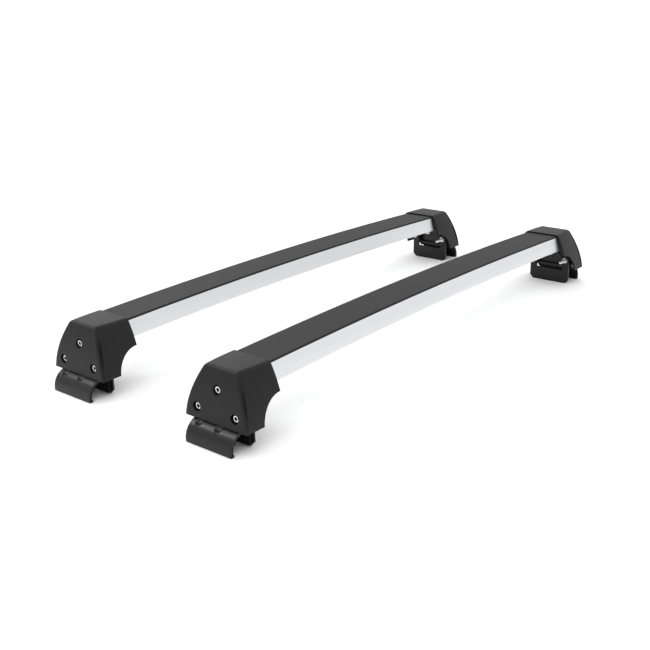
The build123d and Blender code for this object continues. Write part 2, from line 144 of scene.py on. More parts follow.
@dataclass(frozen=True)
class Finish:
    """A real material with the surface that its making leaves."""

    name: str
    slot: str
    texture: Texture
    colour: str
    shade: str
    roughness: tuple[float, float]
    metallic: float
    gloss: float
    grain_mm: float
    depth_mm: float
    edge_mm: float

    def build(self) -> Material:
        """Make the procedural material.

        Returns:
            A material that reads Object coordinates, so it holds still on a moved piece.
        """
        material = bpy.data.materials.new(self.name)
        material.use_nodes = True
        tree = material.node_tree
        tree.nodes.clear()
        place = add_node(tree, "ShaderNodeTexCoord")
        run = add_node(
            tree,
            "ShaderNodeMapping",
            values={"Scale": self.texture.stretch},
            links={"Vector": place.outputs["Object"]},
        )
        grain = add_node(
            tree,
            "ShaderNodeTexNoise",
            values={"Scale": 1 / (self.grain_mm * MM), "Detail": 3.0, "Roughness": 0.6},
            links={"Vector": run.outputs["Vector"]},
        )
        cloud = add_node(
            tree,
            "ShaderNodeTexNoise",
            values={"Scale": 1 / (CLOUD_GRAINS * self.grain_mm * MM), "Detail": 2.0},
            links={"Vector": run.outputs["Vector"]},
        )
        blend = add_node(
            tree,
            "ShaderNodeMath",
            {"operation": "MULTIPLY"},
            links={0: grain.outputs["Fac"], 1: cloud.outputs["Fac"]},
        )
        tone = add_node(tree, "ShaderNodeValToRGB", links={"Fac": blend.outputs["Value"]})
        for stop, spot, code in zip(tone.color_ramp.elements, TONE_STOPS, (self.shade, self.colour)):
            stop.position = spot
            stop.color = linear(code)
        smooth, rough = self.roughness
        low, high = SHEEN_SPAN
        sheen = add_node(
            tree,
            "ShaderNodeMapRange",
            values={"From Min": low, "From Max": high, "To Min": smooth, "To Max": rough},
            links={"Value": grain.outputs["Fac"]},
        )
        soft_edge = add_node(tree, "ShaderNodeBevel", {"samples": 4}, {"Radius": self.edge_mm * MM})
        relief = add_node(
            tree,
            "ShaderNodeBump",
            values={"Strength": 1.0, "Distance": self.depth_mm * MM},
            links={"Height": grain.outputs["Fac"], "Normal": soft_edge.outputs["Normal"]},
        )
        skin = add_node(
            tree,
            "ShaderNodeBsdfPrincipled",
            values={"Metallic": self.metallic, "Specular IOR Level": self.gloss},
            links={
                "Base Color": tone.outputs["Color"],
                "Roughness": sheen.outputs["Result"],
                "Normal": relief.outputs["Normal"],
            },
        )
        add_node(tree, "ShaderNodeOutputMaterial", links={"Surface": skin.outputs["BSDF"]})
        return material


# Satin anodised extrusion: bright, with faint lines from the die along the bar
ANODISED_ALUMINIUM = Finish(
    "satin_anodised_aluminium", "bar_aluminium", Texture.DRAWN, "#E2E3E5", "#D4D5D7",
    roughness=(0.30, 0.40), metallic=1.0, gloss=0.5, grain_mm=0.5, depth_mm=0.004, edge_mm=0.4,
)
# Extruded EPDM: even dark grey, fine flow marks along the strip
EXTRUDED_EPDM = Finish(
    "extruded_epdm_rubber", "strip_rubber", Texture.CURED, "#111111", "#0D0D0D",
    roughness=(0.52, 0.62), metallic=0.0, gloss=0.28, grain_mm=0.6, depth_mm=0.010, edge_mm=0.5,
)
# Injection-moulded nylon with spark-eroded grain: soft broad highlights
MOULDED_NYLON = Finish(
    "grained_black_nylon", "foot_plastic", Texture.MOULDED, "#111112", "#0D0D0E",
    roughness=(0.42, 0.54), metallic=0.0, gloss=0.25, grain_mm=0.55, depth_mm=0.012, edge_mm=0.9,
)
# Powder coat over pressed steel: slight orange peel, a soft shine on the bends
POWDER_COAT = Finish(
    "black_powder_coat", "clamp_steel", Texture.COATED, "#0C0C0D", "#09090A",
    roughness=(0.26, 0.38), metallic=0.0, gloss=0.32, grain_mm=1.1, depth_mm=0.012, edge_mm=0.6,
)
# Moulded rubber of the pads: dead matte
MOULDED_RUBBER = Finish(
    "moulded_grip_rubber", "grip_rubber", Texture.MOULDED, "#0C0C0C", "#090909",
    roughness=(0.70, 0.82), metallic=0.0, gloss=0.22, grain_mm=0.7, depth_mm=0.015, edge_mm=0.4,
)
# Bright zinc plate on steel: clear reflections with a slight cloud
ZINC_PLATE = Finish(
    "bright_zinc_plate", "fastener_steel", Texture.PLATED, "#DADAD6", "#C4C4C0",
    roughness=(0.20, 0.32), metallic=1.0, gloss=0.5, grain_mm=0.8, depth_mm=0.003, edge_mm=0.2,
)
# Painted shade in the hexagon socket: a dark, dull steel colour stands in for the shadow inside the socket,
# so the socket reads as a hole
SOCKET_PAINTED_SHADE = Finish(
    "socket_painted_shade", "socket_shade_slot", Texture.PLATED, "#262625", "#1A1A19",
    roughness=(0.55, 0.65), metallic=1.0, gloss=0.5, grain_mm=0.8, depth_mm=0.003, edge_mm=0.1,
)
FINISHES = (
    SOCKET_PAINTED_SHADE, ANODISED_ALUMINIUM, EXTRUDED_EPDM, MOULDED_NYLON, POWDER_COAT, MOULDED_RUBBER, ZINC_PLATE,
)
Finishes = dict[str, Material]


def link_mesh(name: str, mesh: Mesh) -> Object:
    """Put a mesh into the scene as an object at the origin.

    Args:
        name: Name of the piece.
        mesh: Its finished mesh.

    Returns:
        The new object.
    """
    piece = bpy.data.objects.new(name, mesh)
    bpy.context.scene.collection.objects.link(piece)
    return piece


def plain_mesh(shape: BMesh, name: str, *finishes: Material) -> Mesh:
    """Turn a work mesh into a plain mesh.

    Args:
        shape: Work mesh, which is freed.
        name: Name of the mesh.
        finishes: Materials of its slots.

    Returns:
        The mesh.
    """
    mesh = bpy.data.meshes.new(name)
    shape.to_mesh(mesh)
    shape.free()
    for finish in finishes:
        mesh.materials.append(finish)
    return mesh


def skin_rings(shape: BMesh, rings: list[list[BMVert]]) -> None:
    """Join closed rings of vertices, each to the next, with four-sided faces."""
    for near, far in zip(rings, rings[1:]):
        for i in range(len(near)):
            j = (i + 1) % len(near)
            shape.faces.new((near[i], near[j], far[j], far[i]))


def lathe(shape: BMesh, rings: Iterable[Outline], xs: Iterable[float]) -> list[list[BMVert]]:
    """Skin rings of points that lie at places along X.

    Args:
        shape: Mesh to add to.
        rings: For each place, the ring's points as (y, z).
        xs: Places along X, one for each ring.

    Returns:
        The rings as lists of vertices.
    """
    made = [[shape.verts.new((x, y, z)) for y, z in ring] for ring, x in zip(rings, xs)]
    skin_rings(shape, made)
    return made


def circle(radius: float, count: int) -> Outline:
    """Points of a circle about X as (y, z)."""
    return [(radius * cos(2 * pi * i / count), radius * sin(2 * pi * i / count)) for i in range(count)]


def hexagon(flats: float, count: int) -> Outline:
    """Points of a hexagon about X, evenly spaced by angle so that it meets a circle's points.

    Args:
        flats: Width across the flats.
        count: Number of points.

    Returns:
        The points as (y, z).
    """
    points = []
    for i in range(count):
        angle = 2 * pi * i / count
        within = (angle + pi / 6) % (pi / 3) - pi / 6
        radius = flats / 2 / cos(within)
        points.append((radius * cos(angle), radius * sin(angle)))
    return points


def smooth_by_angle(mesh: Mesh, degrees: float) -> None:
    """Shade a mesh smooth, in its first material, and keep its strong bends sharp.

    Args:
        mesh: Mesh to shade.
        degrees: Bend from which an edge stays sharp.
    """
    shape = bmesh.new()
    shape.from_mesh(mesh)
    for face in shape.faces:
        face.smooth = True
        face.material_index = 0
    for edge in shape.edges:
        edge.smooth = edge.is_manifold and edge.calc_face_angle(pi) < radians(degrees)
    shape.to_mesh(mesh)
    shape.free()


@dataclass
class ScrewNodes:
    """Geometry Nodes tree for what repeats on a screw: the thread's turns and the knurls round the head."""

    turn_steps: int = 20
    crest_sides: int = 4
    tree: NodeTree = field(init=False)
    sockets: dict[str, str] = field(init=False)

    def __post_init__(self) -> None:
        """Build the tree with its named inputs."""
        self.tree = bpy.data.node_groups.new("screw_thread_and_knurl", "GeometryNodeTree")
        face = self.tree.interface
        face.new_socket("Geometry", in_out="OUTPUT", socket_type="NodeSocketGeometry")
        self.sockets = {}
        special = {"Knurl Count": "NodeSocketInt", "Material": "NodeSocketMaterial"}
        for name in (
            "Root Radius", "Pitch", "Turns", "Crest", "Head Radius", "Knurl Length", "Knurl Width",
            "Knurl Count", "Knurl Middle", "Thread Start", "Material",
        ):
            kind = special.get(name, "NodeSocketFloat")
            self.sockets[name] = face.new_socket(name, in_out="INPUT", socket_type=kind).identifier
        self.wire()

    def wire(self) -> None:
        """Add the nodes: a swept helix, knurls on a circle, joined, realised and given their material."""
        tree = self.tree
        sizes = add_node(tree, "NodeGroupInput").outputs
        rise = add_node(
            tree, "ShaderNodeMath", {"operation": "MULTIPLY"}, links={0: sizes["Pitch"], 1: sizes["Turns"]}
        )
        # The spiral node winds left by default, and a common screw is right-handed
        helix = add_node(
            tree,
            "GeometryNodeCurveSpiral",
            values={"Resolution": self.turn_steps, "Reverse": True},
            links={
                "Rotations": sizes["Turns"],
                "Start Radius": sizes["Root Radius"],
                "End Radius": sizes["Root Radius"],
                "Height": rise.outputs["Value"],
            },
        )
        upright = add_node(
            tree, "GeometryNodeSetCurveNormal", {"mode": "Z_UP"}, links={"Curve": helix.outputs["Curve"]}
        )
        crest = add_node(
            tree,
            "GeometryNodeCurvePrimitiveCircle",
            values={"Resolution": self.crest_sides},
            links={"Radius": sizes["Crest"]},
        )
        thread = add_node(
            tree,
            "GeometryNodeCurveToMesh",
            values={"Fill Caps": True},
            links={"Curve": upright.outputs["Curve"], "Profile Curve": crest.outputs["Curve"]},
        )
        ring = add_node(
            tree,
            "GeometryNodeMeshCircle",
            links={"Vertices": sizes["Knurl Count"], "Radius": sizes["Head Radius"]},
        )
        across = add_node(
            tree,
            "ShaderNodeCombineXYZ",
            links={"X": sizes["Knurl Width"], "Y": sizes["Knurl Width"], "Z": sizes["Knurl Length"]},
        )
        bead = add_node(tree, "GeometryNodeMeshCube", links={"Size": across.outputs["Vector"]})
        where = add_node(tree, "GeometryNodeInputPosition")
        facing = add_node(
            tree,
            "FunctionNodeAlignRotationToVector",
            {"axis": "X"},
            links={"Vector": where.outputs["Position"]},
        )
        knurls = add_node(
            tree,
            "GeometryNodeInstanceOnPoints",
            links={
                "Points": ring.outputs["Mesh"],
                "Instance": bead.outputs["Mesh"],
                "Rotation": facing.outputs["Rotation"],
            },
        )
        both = add_node(tree, "GeometryNodeJoinGeometry")
        parts = {"Thread Start": thread.outputs["Mesh"], "Knurl Middle": knurls.outputs["Instances"]}
        for height, part in parts.items():
            lift = add_node(tree, "ShaderNodeCombineXYZ", links={"Z": sizes[height]})
            moved = add_node(
                tree, "GeometryNodeTransform", links={"Geometry": part, "Translation": lift.outputs["Vector"]}
            )
            tree.links.new(moved.outputs["Geometry"], both.inputs["Geometry"])
        real = add_node(tree, "GeometryNodeRealizeInstances", links={"Geometry": both.outputs["Geometry"]})
        dressed = add_node(
            tree,
            "GeometryNodeSetMaterial",
            links={"Geometry": real.outputs["Geometry"], "Material": sizes["Material"]},
        )
        add_node(tree, "NodeGroupOutput", links={"Geometry": dressed.outputs["Geometry"]})

    def mesh(self, sizes: dict[str, Any]) -> Mesh:
        """Evaluate the tree.

        Args:
            sizes: Input name to value, in metres.

        Returns:
            A plain mesh about the Z axis.
        """
        carrier = link_mesh("screw_detail", bpy.data.meshes.new("screw_detail"))
        modifier = carrier.modifiers.new("detail", "NODES")
        modifier.node_group = self.tree
        for name, value in sizes.items():
            modifier[self.sockets[name]] = value
        bpy.context.view_layer.update()
        evaluated = carrier.evaluated_get(bpy.context.evaluated_depsgraph_get())
        mesh = bpy.data.meshes.new_from_object(evaluated)
        carrier.modifiers.remove(modifier)
        bpy.data.objects.remove(carrier)
        return mesh


@dataclass
class SocketScrew:
    """Socket-head screw along X with its seat at zero and its head on the positive side."""

    length: float
    head_height: float
    thread: float
    head_radius: float = 5.0 * MM
    shank_radius: float = 3.0 * MM
    flats: float = 5.0 * MM
    socket_depth: float = 3.0 * MM
    socket_lead: float = 0.35 * MM
    socket_mouth: float = 0.65 * MM
    drill_inset: float = 0.1 * MM
    drill_depth: float = 0.9 * MM
    socket_margin: float = 0.2 * MM
    pit_margin: float = 1.0 * MM
    pitch: float = 1.0 * MM
    thread_depth: float = 0.52 * MM
    crest: float = 0.46 * MM
    tip_chamfer: float = 0.6 * MM
    run_out: float = 0.5 * MM
    shank_play: float = 0.05 * MM
    seat_edge: float = 0.3 * MM
    rim: float = 0.55 * MM
    rim_round: float = 0.16 * MM
    land: float = 1.1 * MM
    knurl_inset: float = 0.14 * MM
    knurl_width: float = 0.36 * MM
    knurl_margin: float = 1.7 * MM
    knurl_count: int = 40
    steps: int = 48
    sharp_angle: float = 35.0

    def core(self) -> BMesh:
        """Turn the head, the hexagon socket and the shank's core.

        Returns:
            A closed mesh.
        """
        shape = bmesh.new()
        root = self.shank_radius - self.thread_depth
        shank = self.shank_radius - self.shank_play
        body = self.head_radius - self.knurl_inset
        top = self.head_height
        tip = -self.length
        plain = tip + self.thread
        profile = [
            (root - self.tip_chamfer, tip),
            (root, tip + self.tip_chamfer),
            (root, plain),
            (shank, plain + self.run_out),
            (shank, -self.seat_edge),
            (shank, 0.0),
            (body - self.seat_edge, 0.0),
            (body, self.seat_edge),
            (body, top - self.rim),
            (body - self.rim_round, top - self.rim_round),
            (body - self.rim, top),
            (body - self.land, top),
            (self.flats / 2 + self.socket_mouth, top),
        ]
        rings = [circle(radius, self.steps) for radius, _ in profile]
        xs = [x for _, x in profile]
        floor = top - self.socket_depth
        rings += [hexagon(self.flats, self.steps), hexagon(self.flats, self.steps)]
        rings.append(circle(self.flats / 2 - self.drill_inset, self.steps))
        xs += [top - self.socket_lead, floor, floor]
        made = lathe(shape, rings, xs)
        shape.faces.new(list(reversed(made[0])))
        pit = shape.verts.new((floor - self.drill_depth, 0, 0))
        last = made[-1]
        for i, vert in enumerate(last):
            shape.faces.new((vert, last[(i + 1) % self.steps], pit))
        bmesh.ops.recalc_face_normals(shape, faces=shape.faces)
        return shape

    def mesh(self, name: str, nodes: ScrewNodes, finish: Material) -> Mesh:
        """Join the turned core with its thread and knurls.

        Args:
            name: Name of the mesh.
            nodes: Tree that makes the thread and the knurls.
            finish: Material of the screw.

        Returns:
            The screw along X, with its socket in the second material, which is painted shade.
        """
        detail = nodes.mesh(
            {
                "Root Radius": self.shank_radius - self.thread_depth,
                "Pitch": self.pitch,
                "Turns": (self.thread - 2 * self.tip_chamfer) / self.pitch,
                "Crest": self.crest,
                "Head Radius": self.head_radius - 2 * self.knurl_inset,
                "Knurl Length": self.head_height - self.knurl_margin,
                "Knurl Width": self.knurl_width,
                "Knurl Count": self.knurl_count,
                "Knurl Middle": self.head_height / 2,
                "Thread Start": -self.length + self.tip_chamfer,
                "Material": finish,
            }
        )
        detail.transform(Matrix.Rotation(radians(90), 4, "Y"))
        shape = self.core()
        shape.from_mesh(detail)
        bpy.data.meshes.remove(detail)
        mesh = plain_mesh(shape, name, finish, bpy.data.materials[SOCKET_PAINTED_SHADE.name])
        smooth_by_angle(mesh, self.sharp_angle)
        # Faces inside the hexagon socket and its pit get the second material: painted shade where the socket
        # lies in shadow
        reach = self.flats / 2 + self.socket_margin
        depth = self.head_height - self.socket_depth - self.pit_margin
        for face in mesh.polygons:
            if face.center.yz.length < reach and face.center.x > depth:
                face.material_index = 1
        return mesh


@dataclass
class HexNut:
    """Chamfered hexagon nut about X, with its middle at zero."""

    flats: float = 10.0 * MM
    thickness: float = 5.0 * MM
    bore: float = 6.16 * MM
    bore_chamfer: float = 0.35 * MM
    face_share: float = 0.985
    chamfer: float = 0.62 * MM
    chamfer_angle: float = 30.0
    chamfer_steps: tuple[float, ...] = (0.0, 0.2, 0.5, 1.0)
    steps: int = 72
    sharp_angle: float = 28.0

    def mesh(self, centres: list[Vector], name: str, finish: Material) -> Mesh:
        """Make a nut at each centre.

        Args:
            centres: Middle of each nut.
            name: Name of the mesh.
            finish: Material of the nuts.

        Returns:
            One mesh with all the nuts.
        """
        shape = bmesh.new()
        face_radius = self.flats / 2 * self.face_share
        slope = tan(radians(self.chamfer_angle))
        half = self.thickness / 2
        levels = [share * self.chamfer for share in self.chamfer_steps]
        outer = [(-half + level, face_radius + level / slope) for level in levels]
        outer += [(half - level, face_radius + level / slope) for level in reversed(levels)]
        mouth = circle(self.bore / 2 + self.bore_chamfer, self.steps)
        bore = circle(self.bore / 2, self.steps)
        rings = [mouth] + [self.clipped(limit) for _, limit in outer] + [mouth, bore, bore, mouth]
        inner = half - self.bore_chamfer
        xs = [-half] + [x for x, _ in outer] + [half, inner, -inner, -half]
        for centre in centres:
            made = lathe(shape, rings, xs)
            bmesh.ops.translate(shape, verts=[v for ring in made for v in ring], vec=centre)
        bmesh.ops.remove_doubles(shape, verts=shape.verts, dist=WELD)
        bmesh.ops.recalc_face_normals(shape, faces=shape.faces)
        mesh = plain_mesh(shape, name, finish)
        smooth_by_angle(mesh, self.sharp_angle)
        return mesh

    def clipped(self, limit: float) -> Outline:
        """Turn off a hexagon's corners.

        Args:
            limit: Radius that the corners are turned to.

        Returns:
            The points as (y, z).
        """
        points = []
        for y, z in hexagon(self.flats, self.steps):
            keep = min(1.0, limit / sqrt(y * y + z * z))
            points.append((y * keep, z * keep))
        return points


def combine(block: Object, steps: list[tuple[str, Object]]) -> Mesh:
    """Cut solids out of a block or add them to it, and clear the work objects away.

    Args:
        block: Closed solid to start from.
        steps: Boolean operation and solid, in order.

    Returns:
        The finished mesh.
    """
    for operation, solid in steps:
        step = block.modifiers.new(solid.name, "BOOLEAN")
        step.operation = operation
        step.solver = "EXACT"
        step.object = solid
    bpy.context.view_layer.update()
    evaluated = block.evaluated_get(bpy.context.evaluated_depsgraph_get())
    mesh = bpy.data.meshes.new_from_object(evaluated)
    for piece in [block] + [solid for _, solid in steps]:
        bpy.data.objects.remove(piece)
    return mesh


def finish_shape(shape: BMesh, name: str) -> Object:
    """Turn a work mesh into an object with its faces outwards.

    Args:
        shape: Work mesh, which is freed.
        name: Name of the object.

    Returns:
        The object.
    """
    bmesh.ops.recalc_face_normals(shape, faces=shape.faces)
    return link_mesh(name, plain_mesh(shape, name))


def closed_copy(node: str) -> Object:
    """Copy a CAD node's mesh in its place, with the seams between its faces welded.

    Args:
        node: Name of the CAD node.

    Returns:
        The copy, at the origin.
    """
    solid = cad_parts[node]
    shape = bmesh.new()
    shape.from_mesh(solid.data)
    shape.transform(solid.matrix_world)
    bmesh.ops.remove_doubles(shape, verts=shape.verts, dist=WELD)
    return finish_shape(shape, f"{node}_copy")


def block_between(low: Vector, high: Vector, name: str) -> Object:
    """Make a plain block.

    Args:
        low: Its lowest corner.
        high: Its highest corner.
        name: Name of the object.

    Returns:
        The block.
    """
    shape = bmesh.new()
    place = Matrix.Translation((low + high) / 2) @ Matrix.Diagonal((*(high - low), 1.0))
    bmesh.ops.create_cube(shape, size=1.0, matrix=place)
    return finish_shape(shape, name)


@dataclass
class CoverForm:
    """Moulded cover of the right foot about its bar's centre line, in millimetres.

    It has the CAD cover's outline, cavity, bosses and holes, with the bowed sides and the deeper flutes.
    """

    mouth: float = 417.0
    bar_end: float = 441.0
    face: float = 490.0
    bottom: float = 31.5
    top: float = 107.617
    cavity_top: float = 105.717
    foot_half: float = 57.2
    top_halves: tuple[float, float, float] = (34.24, 33.24, 25.6)
    face_radius: float = 191.0
    bulge: float = 5.0
    rim: float = 2.2
    rim_lead: float = 0.15
    flute_radius: float = 4.6
    flute_depth: float = 5.0
    flute_lift: float = 0.6
    flute_reach: float = 20.0
    flute_steps: tuple[float, ...] = (12.0, 8.0, 5.5, 4.6, 4.45, 4.1, 3.5, 2.6, 1.4, 0.0)
    corner_radius: float = 1.2
    corner_cut: float = 0.29
    top_radius: float = 4.5
    side_wall: float = 2.5
    face_side_wall: float = 6.5
    face_wall: float = 3.2
    cutout_radius: float = 39.0
    cutout_z: float = 29.1
    counterbore: float = 7.0
    boss_wall: float = 2.0
    bolt_y: float = 35.0
    bolt_z: float = 48.0
    boss_start: float = 476.7
    boss_end: float = 487.0
    screw_z: float = 78.5
    screw_start: float = 473.7
    screw_seat: float = 477.6
    screw_end: float = 481.0
    screw_hole: float = 3.3
    over: float = 6.0
    overlap: float = 1.0
    levels: int = 36
    face_steps: int = 24
    side_steps: int = 6
    inner_steps: int = 9
    top_steps: int = 8
    rod_steps: int = 64
    sharp_angle: float = 32.0

    def face_x(self, z: float, inset: float = 0.0) -> float:
        """Place of the convex outer face at one height."""
        return self.face - self.face_radius + sqrt((self.face_radius - inset) ** 2 - (z - self.bottom) ** 2)

    def drop(self, z: float) -> float:
        """Share of the way from the top down to the bottom."""
        return (self.top - z) / (self.top - self.bottom)

    def half_width(self, x: float, z: float, bulge: float) -> float:
        """Find half the cover's width at one place.

        Args:
            x: Place along the bar.
            z: Height.
            bulge: How far the side bows out at mid height.

        Returns:
            The distance from the bar's centre line to the side.
        """
        end = self.face + self.rim
        low, middle, high = self.top_halves
        slope = (middle - low) / (self.bar_end - self.mouth)
        bend = ((high - middle) / (end - self.bar_end) - slope) / (end - self.mouth)
        top_half = low + (x - self.mouth) * (slope + bend * (x - self.bar_end))
        drop = self.drop(z)
        return top_half + (self.foot_half - top_half) * drop + 4 * bulge * drop * (1 - drop)

    def flute(self, back: float, z: float) -> float:
        """Find the depth of the flute beside the outer face.

        Args:
            back: Distance behind the face's rim.
            z: Height.

        Returns:
            The depth, which is zero outside the flute.
        """
        drop = self.drop(z)
        deepest = 4 * self.flute_depth * drop * (1 - drop) - self.flute_lift
        if back >= self.flute_radius or deepest <= 0:
            return 0.0
        return max(0.0, deepest - self.flute_radius + sqrt(self.flute_radius**2 - back**2))

    def outer_side(self, z: float, inset: float) -> Outline:
        """Draw the outside of one side wall.

        Args:
            z: Height.
            inset: How far the rounded top edge has drawn the wall in.

        Returns:
            Points as (x, half width), from the mouth to the outer face.
        """
        end = self.face_x(z) - inset
        edge = end - self.rim
        plain = edge - self.flute_reach - self.mouth
        places = [(self.mouth + plain * k / self.side_steps, 0.0) for k in range(self.side_steps + 1)]
        places += [(edge - back, self.flute(back, z)) for back in self.flute_steps]
        places += [(edge + self.rim_lead, 0.0), (end - self.corner_radius, 0.0)]
        side = [(x, self.half_width(x, z, self.bulge) - inset - depth) for x, depth in places]
        corner = self.half_width(end, z, self.bulge) - inset
        nearly = self.corner_cut * self.corner_radius
        return side + [(end - nearly, corner - nearly), (end, corner - self.corner_radius)]

    def inner_side(self, z: float) -> Outline:
        """Draw the inside of one side wall, which fits the bar at the mouth.

        Args:
            z: Height.

        Returns:
            Points as (x, half width), from outside the mouth to the outer face.
        """
        end = self.face_x(z, self.face_wall)
        side = []
        for k in range(self.inner_steps + 1):
            x = self.mouth + (end - self.mouth) * k / self.inner_steps
            share = min(1.0, (x - self.mouth) / (self.bar_end - self.mouth))
            past = max(0.0, (x - self.bar_end) / (self.face - self.bar_end))
            wall = self.side_wall + (self.face_side_wall - self.side_wall) * past
            side.append((x, self.half_width(x, z, self.bulge * share) - wall))
        return [(self.mouth - self.over, side[0][1])] + side

    def solid(self, sections: list[tuple[float, Outline]], name: str) -> Object:
        """Skin half sections, each mirrored and closed across the outer face and the mouth.

        Args:
            sections: Height and half section, from the bottom up.
            name: Name of the object.

        Returns:
            A closed solid.
        """
        shape = bmesh.new()
        rings = []
        for z, side in sections:
            end, half = side[-1]
            steps = [-half + 2 * half * k / self.face_steps for k in range(1, self.face_steps)]
            path = [(x, -y) for x, y in side] + [(end, y) for y in steps] + list(reversed(side))
            rings.append([shape.verts.new((x, y, z)) for x, y in path])
        skin_rings(shape, rings)
        shape.faces.new(list(reversed(rings[0])))
        shape.faces.new(rings[-1])
        return finish_shape(shape, name)

    def rods(self, sizes: list[Rod], name: str) -> Object:
        """Make round rods.

        Args:
            sizes: Radius, start and end of each rod.
            name: Name of the object.

        Returns:
            One object with all the rods.
        """
        shape = bmesh.new()
        for radius, start, end in sizes:
            turn = (end - start).to_track_quat("Z", "Y").to_matrix().to_4x4()
            place = Matrix.Translation((start + end) / 2) @ turn
            bmesh.ops.create_cone(
                shape, cap_ends=True, segments=self.rod_steps, radius1=radius, radius2=radius,
                depth=(end - start).length, matrix=place,
            )
        return finish_shape(shape, name)

    def bolt_rods(self, radius: float, start: float, end: float) -> list[Rod]:
        """Rods along the two clamp bolts."""
        ys = (-self.bolt_y, self.bolt_y)
        return [(radius, Vector((start, y, self.bolt_z)), Vector((end, y, self.bolt_z))) for y in ys]

    def screw_rod(self, radius: float, start: float, end: float) -> Rod:
        """Rod along the cover screw."""
        return radius, Vector((start, 0, self.screw_z)), Vector((end, 0, self.screw_z))

    def build(self) -> Mesh:
        """Cut the cavity, the cut-out and the holes out of the block, and add the bosses.

        Returns:
            The cover's mesh, in metres.
        """
        shoulder = self.top - self.top_radius
        heights = [self.bottom + (shoulder - self.bottom) * k / self.levels for k in range(self.levels)]
        outside = [(z, self.outer_side(z, 0.0)) for z in heights]
        for k in range(self.top_steps + 1):
            angle = pi / 2 * k / self.top_steps
            z = shoulder + self.top_radius * sin(angle)
            outside.append((z, self.outer_side(z, self.top_radius * (1 - cos(angle)))))
        deep = self.bottom - self.over
        inside_z = [deep + (self.cavity_top - deep) * k / self.levels for k in range(self.levels + 1)]
        inside = [(z, self.inner_side(z)) for z in inside_z]
        boss = self.counterbore + self.boss_wall
        bosses = self.bolt_rods(boss, self.boss_start, self.boss_end)
        bosses.append(self.screw_rod(boss, self.screw_start, self.screw_end))
        past = self.face + self.over
        holes = self.bolt_rods(self.counterbore, self.boss_start - self.overlap, past)
        holes.append(self.screw_rod(self.counterbore, self.screw_seat, past))
        through = self.screw_rod(
            self.screw_hole, self.screw_start - self.overlap, self.screw_seat + self.overlap
        )
        low = Vector((self.mouth, -2 * self.foot_half, self.cutout_z))
        high = Vector((self.mouth, 2 * self.foot_half, self.cutout_z))
        block = self.solid(outside, "cover_block")
        steps = [
            ("DIFFERENCE", self.solid(inside, "cover_cavity")),
            ("UNION", self.rods(bosses, "cover_bosses")),
            ("DIFFERENCE", self.rods([(self.cutout_radius, low, high)], "cover_cutout")),
            ("DIFFERENCE", self.rods(holes, "cover_counterbores")),
            ("DIFFERENCE", self.rods([through], "cover_screw_hole")),
        ]
        mesh = combine(block, steps)
        mesh.transform(Matrix.Scale(MM, 4))
        smooth_by_angle(mesh, self.sharp_angle)
        return mesh


def dress_node(node: str, material: Material) -> None:
    """Give a CAD node's object its finish in every material slot.

    Args:
        node: Name of the CAD node.
        material: Its finish.
    """
    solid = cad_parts[node]
    for slot in solid.material_slots:
        slot.material = material
    LOG.info("dressed %s in %s", node, material.name)


def replace_node(piece: Object, node: str, body: str) -> Object:
    """Let a finished piece stand for its CAD node.

    Args:
        piece: The finished piece, at the origin.
        node: CAD node that it stands for.
        body: Body that carries it.

    Returns:
        The same piece.
    """
    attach(piece, body)
    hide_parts(node)
    LOG.info("built %s on %s", piece.name, body)
    return piece


@dataclass
class Crossbar:
    """One bar of the set: the arched extrusion and its top strip."""

    bar: Bar

    def dress(self, finishes: Finishes) -> None:
        """Give the bar and its strip their finishes."""
        dress_node(f"{self.bar.value}_crossbar", finishes[ANODISED_ALUMINIUM.slot])
        dress_node(f"{self.bar.value}_top_strip", finishes[EXTRUDED_EPDM.slot])


